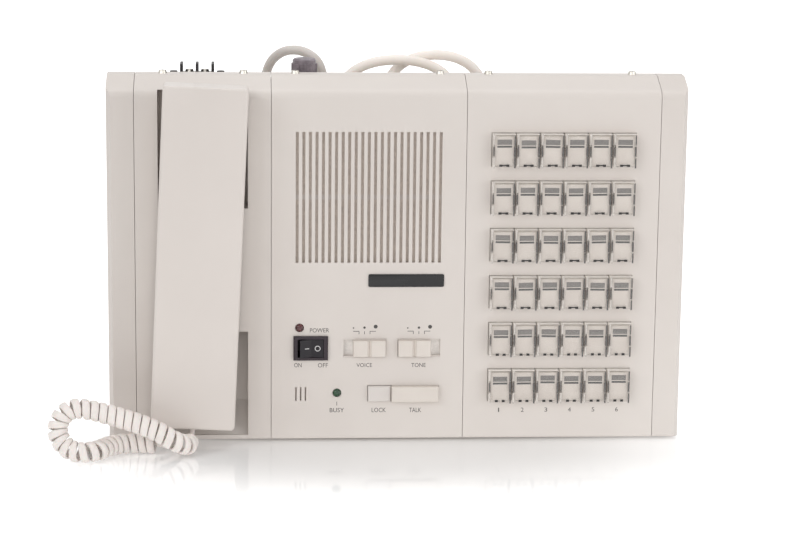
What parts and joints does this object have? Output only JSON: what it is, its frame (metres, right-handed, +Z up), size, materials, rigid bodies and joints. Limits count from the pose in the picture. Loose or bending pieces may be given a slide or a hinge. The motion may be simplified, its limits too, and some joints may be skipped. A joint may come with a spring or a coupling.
{
  "type": "staff call console",
  "caption": "Upright intercom console with a cradled handset on a curly cord, a loudspeaker grille, talk and lock keys, volume and tone slides, and a field of sprung station keys.",
  "frame": {"origin": "middle of the console's bounding box, without its cords, at the surface that it stands on", "axes": "+X to the right as the front is seen, +Y to the back, +Z up"},
  "size_m": [0.3838, 0.2405, 0.2354],
  "materials": {
    "cover_plastic": "fine texture",
    "cap_plastic": "fine texture",
    "handset_plastic": "satin",
    "housing_paint": "satin",
    "key_plastic": "cream card under a clear cap",
    "button_plastic": "satin",
    "knob_plastic": "satin",
    "lamp_plastic": "clear colour",
    "black_plastic": "satin",
    "speaker_metal": "matte",
    "screw_steel": "plated",
    "strip_plastic": "moulded",
    "curly_cord_jacket": "satin",
    "cable_jacket": "satin",
    "relief_rubber": "matte",
    "hook_plastic": "satin"
  },
  "bodies": {
    "console": {"end_caps": "cap_plastic", "handset_module_cover": "cover_plastic", "speaker_module_cover": "cover_plastic", "loudspeaker": "speaker_metal", "indicator_lamps": "lamp_plastic", "power_switch_frame": "black_plastic", "key_module_cover": "cover_plastic", "rear_housing": "housing_paint", "cover_screws": "screw_steel", "terminal_strip": "strip_plastic", "handset_cord": "curly_cord_jacket", "strain_reliefs": "relief_rubber", "rear_cables": "cable_jacket", "mains_lead_coil": "cable_jacket", "mains_plug": "cable_jacket"},
    "handset": {"handset_outer_shell": "handset_plastic", "handset_inner_shell": "handset_plastic"},
    "hook": {"hook_plunger": "hook_plastic"},
    "rocker": {"power_rocker": "black_plastic"},
    "voice_slide_knob": {"voice_knob": "knob_plastic"},
    "tone_slide_knob": {"tone_knob": "knob_plastic"},
    "lock_key": {"lock_button": "button_plastic"},
    "talk_key": {"talk_button": "button_plastic"},
    "fuse_holder_cap": {"fuse_cap": "black_plastic"},
    "station_row1_column1": {"key_row1_column1": "key_plastic"},
    "station_row1_column2": {"key_row1_column2": "key_plastic"},
    "station_row1_column3": {"key_row1_column3": "key_plastic"},
    "station_row1_column4": {"key_row1_column4": "key_plastic"},
    "station_row1_column5": {"key_row1_column5": "key_plastic"},
    "station_row1_column6": {"key_row1_column6": "key_plastic"},
    "station_row2_column1": {"key_row2_column1": "key_plastic"},
    "station_row2_column2": {"key_row2_column2": "key_plastic"},
    "station_row2_column3": {"key_row2_column3": "key_plastic"},
    "station_row2_column4": {"key_row2_column4": "key_plastic"},
    "station_row2_column5": {"key_row2_column5": "key_plastic"},
    "station_row2_column6": {"key_row2_column6": "key_plastic"},
    "station_row3_column1": {"key_row3_column1": "key_plastic"},
    "station_row3_column2": {"key_row3_column2": "key_plastic"},
    "station_row3_column3": {"key_row3_column3": "key_plastic"},
    "station_row3_column4": {"key_row3_column4": "key_plastic"},
    "station_row3_column5": {"key_row3_column5": "key_plastic"},
    "station_row3_column6": {"key_row3_column6": "key_plastic"},
    "station_row4_column1": {"key_row4_column1": "key_plastic"},
    "station_row4_column2": {"key_row4_column2": "key_plastic"},
    "station_row4_column3": {"key_row4_column3": "key_plastic"},
    "station_row4_column4": {"key_row4_column4": "key_plastic"},
    "station_row4_column5": {"key_row4_column5": "key_plastic"},
    "station_row4_column6": {"key_row4_column6": "key_plastic"},
    "station_row5_column1": {"key_row5_column1": "key_plastic"},
    "station_row5_column2": {"key_row5_column2": "key_plastic"},
    "station_row5_column3": {"key_row5_column3": "key_plastic"},
    "station_row5_column4": {"key_row5_column4": "key_plastic"},
    "station_row5_column5": {"key_row5_column5": "key_plastic"},
    "station_row5_column6": {"key_row5_column6": "key_plastic"},
    "station_row6_column1": {"key_row6_column1": "key_plastic"},
    "station_row6_column2": {"key_row6_column2": "key_plastic"},
    "station_row6_column3": {"key_row6_column3": "key_plastic"},
    "station_row6_column4": {"key_row6_column4": "key_plastic"},
    "station_row6_column5": {"key_row6_column5": "key_plastic"},
    "station_row6_column6": {"key_row6_column6": "key_plastic"}
  },
  "joints": [
    {"name": "handset_lift", "type": "slide", "parent": "console", "child": "handset", "axis": [0, -1, 0], "range_m": [0, 0.12], "deforming": ["handset_cord"]},
    {"name": "hook_rise", "type": "slide", "parent": "console", "child": "hook", "axis": [0, -1, 0], "range_m": [0, 0.004]},
    {"name": "power_rock", "type": "hinge", "parent": "console", "child": "rocker", "pos_m": [-0.0525, -0.0241, 0.0589], "axis": [0, 0, 1], "range_deg": [-16, 0]},
    {"name": "voice_slide", "type": "slide", "parent": "console", "child": "voice_slide_knob", "axis": [1, 0, 0], "range_m": [-0.0056, 0]},
    {"name": "tone_slide", "type": "slide", "parent": "console", "child": "tone_slide_knob", "axis": [1, 0, 0], "range_m": [0, 0.0056]},
    {"name": "lock_press", "type": "slide", "parent": "console", "child": "lock_key", "axis": [0, 1, 0], "range_m": [0, 0.0015], "stiffness_N_per_m": 300},
    {"name": "talk_press", "type": "slide", "parent": "console", "child": "talk_key", "axis": [0, 1, 0], "range_m": [0, 0.003], "stiffness_N_per_m": 300},
    {"name": "fuse_cap_turn", "type": "hinge", "parent": "console", "child": "fuse_holder_cap", "pos_m": [-0.0559, 0.0175, 0.2135], "axis": [0, 0, 1], "range_deg": [0, 90]},
    {"name": "press_row1_column1", "type": "slide", "parent": "console", "child": "station_row1_column1", "axis": [0, 1, 0], "range_m": [0, 0.003], "stiffness_N_per_m": 300},
    {"name": "press_row1_column2", "type": "slide", "parent": "console", "child": "station_row1_column2", "axis": [0, 1, 0], "range_m": [0, 0.003], "stiffness_N_per_m": 300},
    {"name": "press_row1_column3", "type": "slide", "parent": "console", "child": "station_row1_column3", "axis": [0, 1, 0], "range_m": [0, 0.003], "stiffness_N_per_m": 300},
    {"name": "press_row1_column4", "type": "slide", "parent": "console", "child": "station_row1_column4", "axis": [0, 1, 0], "range_m": [0, 0.003], "stiffness_N_per_m": 300},
    {"name": "press_row1_column5", "type": "slide", "parent": "console", "child": "station_row1_column5", "axis": [0, 1, 0], "range_m": [0, 0.003], "stiffness_N_per_m": 300},
    {"name": "press_row1_column6", "type": "slide", "parent": "console", "child": "station_row1_column6", "axis": [0, 1, 0], "range_m": [0, 0.003], "stiffness_N_per_m": 300},
    {"name": "press_row2_column1", "type": "slide", "parent": "console", "child": "station_row2_column1", "axis": [0, 1, 0], "range_m": [0, 0.003], "stiffness_N_per_m": 300},
    {"name": "press_row2_column2", "type": "slide", "parent": "console", "child": "station_row2_column2", "axis": [0, 1, 0], "range_m": [0, 0.003], "stiffness_N_per_m": 300},
    {"name": "press_row2_column3", "type": "slide", "parent": "console", "child": "station_row2_column3", "axis": [0, 1, 0], "range_m": [0, 0.003], "stiffness_N_per_m": 300},
    {"name": "press_row2_column4", "type": "slide", "parent": "console", "child": "station_row2_column4", "axis": [0, 1, 0], "range_m": [0, 0.003], "stiffness_N_per_m": 300},
    {"name": "press_row2_column5", "type": "slide", "parent": "console", "child": "station_row2_column5", "axis": [0, 1, 0], "range_m": [0, 0.003], "stiffness_N_per_m": 300},
    {"name": "press_row2_column6", "type": "slide", "parent": "console", "child": "station_row2_column6", "axis": [0, 1, 0], "range_m": [0, 0.003], "stiffness_N_per_m": 300},
    {"name": "press_row3_column1", "type": "slide", "parent": "console", "child": "station_row3_column1", "axis": [0, 1, 0], "range_m": [0, 0.003], "stiffness_N_per_m": 300},
    {"name": "press_row3_column2", "type": "slide", "parent": "console", "child": "station_row3_column2", "axis": [0, 1, 0], "range_m": [0, 0.003], "stiffness_N_per_m": 300},
    {"name": "press_row3_column3", "type": "slide", "parent": "console", "child": "station_row3_column3", "axis": [0, 1, 0], "range_m": [0, 0.003], "stiffness_N_per_m": 300},
    {"name": "press_row3_column4", "type": "slide", "parent": "console", "child": "station_row3_column4", "axis": [0, 1, 0], "range_m": [0, 0.003], "stiffness_N_per_m": 300},
    {"name": "press_row3_column5", "type": "slide", "parent": "console", "child": "station_row3_column5", "axis": [0, 1, 0], "range_m": [0, 0.003], "stiffness_N_per_m": 300},
    {"name": "press_row3_column6", "type": "slide", "parent": "console", "child": "station_row3_column6", "axis": [0, 1, 0], "range_m": [0, 0.003], "stiffness_N_per_m": 300},
    {"name": "press_row4_column1", "type": "slide", "parent": "console", "child": "station_row4_column1", "axis": [0, 1, 0], "range_m": [0, 0.003], "stiffness_N_per_m": 300},
    {"name": "press_row4_column2", "type": "slide", "parent": "console", "child": "station_row4_column2", "axis": [0, 1, 0], "range_m": [0, 0.003], "stiffness_N_per_m": 300},
    {"name": "press_row4_column3", "type": "slide", "parent": "console", "child": "station_row4_column3", "axis": [0, 1, 0], "range_m": [0, 0.003], "stiffness_N_per_m": 300},
    {"name": "press_row4_column4", "type": "slide", "parent": "console", "child": "station_row4_column4", "axis": [0, 1, 0], "range_m": [0, 0.003], "stiffness_N_per_m": 300},
    {"name": "press_row4_column5", "type": "slide", "parent": "console", "child": "station_row4_column5", "axis": [0, 1, 0], "range_m": [0, 0.003], "stiffness_N_per_m": 300},
    {"name": "press_row4_column6", "type": "slide", "parent": "console", "child": "station_row4_column6", "axis": [0, 1, 0], "range_m": [0, 0.003], "stiffness_N_per_m": 300},
    {"name": "press_row5_column1", "type": "slide", "parent": "console", "child": "station_row5_column1", "axis": [0, 1, 0], "range_m": [0, 0.003], "stiffness_N_per_m": 300},
    {"name": "press_row5_column2", "type": "slide", "parent": "console", "child": "station_row5_column2", "axis": [0, 1, 0], "range_m": [0, 0.003], "stiffness_N_per_m": 300},
    {"name": "press_row5_column3", "type": "slide", "parent": "console", "child": "station_row5_column3", "axis": [0, 1, 0], "range_m": [0, 0.003], "stiffness_N_per_m": 300},
    {"name": "press_row5_column4", "type": "slide", "parent": "console", "child": "station_row5_column4", "axis": [0, 1, 0], "range_m": [0, 0.003], "stiffness_N_per_m": 300},
    {"name": "press_row5_column5", "type": "slide", "parent": "console", "child": "station_row5_column5", "axis": [0, 1, 0], "range_m": [0, 0.003], "stiffness_N_per_m": 300},
    {"name": "press_row5_column6", "type": "slide", "parent": "console", "child": "station_row5_column6", "axis": [0, 1, 0], "range_m": [0, 0.003], "stiffness_N_per_m": 300},
    {"name": "press_row6_column1", "type": "slide", "parent": "console", "child": "station_row6_column1", "axis": [0, 1, 0], "range_m": [0, 0.003], "stiffness_N_per_m": 300},
    {"name": "press_row6_column2", "type": "slide", "parent": "console", "child": "station_row6_column2", "axis": [0, 1, 0], "range_m": [0, 0.003], "stiffness_N_per_m": 300},
    {"name": "press_row6_column3", "type": "slide", "parent": "console", "child": "station_row6_column3", "axis": [0, 1, 0], "range_m": [0, 0.003], "stiffness_N_per_m": 300},
    {"name": "press_row6_column4", "type": "slide", "parent": "console", "child": "station_row6_column4", "axis": [0, 1, 0], "range_m": [0, 0.003], "stiffness_N_per_m": 300},
    {"name": "press_row6_column5", "type": "slide", "parent": "console", "child": "station_row6_column5", "axis": [0, 1, 0], "range_m": [0, 0.003], "stiffness_N_per_m": 300},
    {"name": "press_row6_column6", "type": "slide", "parent": "console", "child": "station_row6_column6", "axis": [0, 1, 0], "range_m": [0, 0.003], "stiffness_N_per_m": 300}
  ],
  "couplings": [
    {"joint": "hook_rise", "follows": "handset_lift", "ratio": 0.0333}
  ]
}
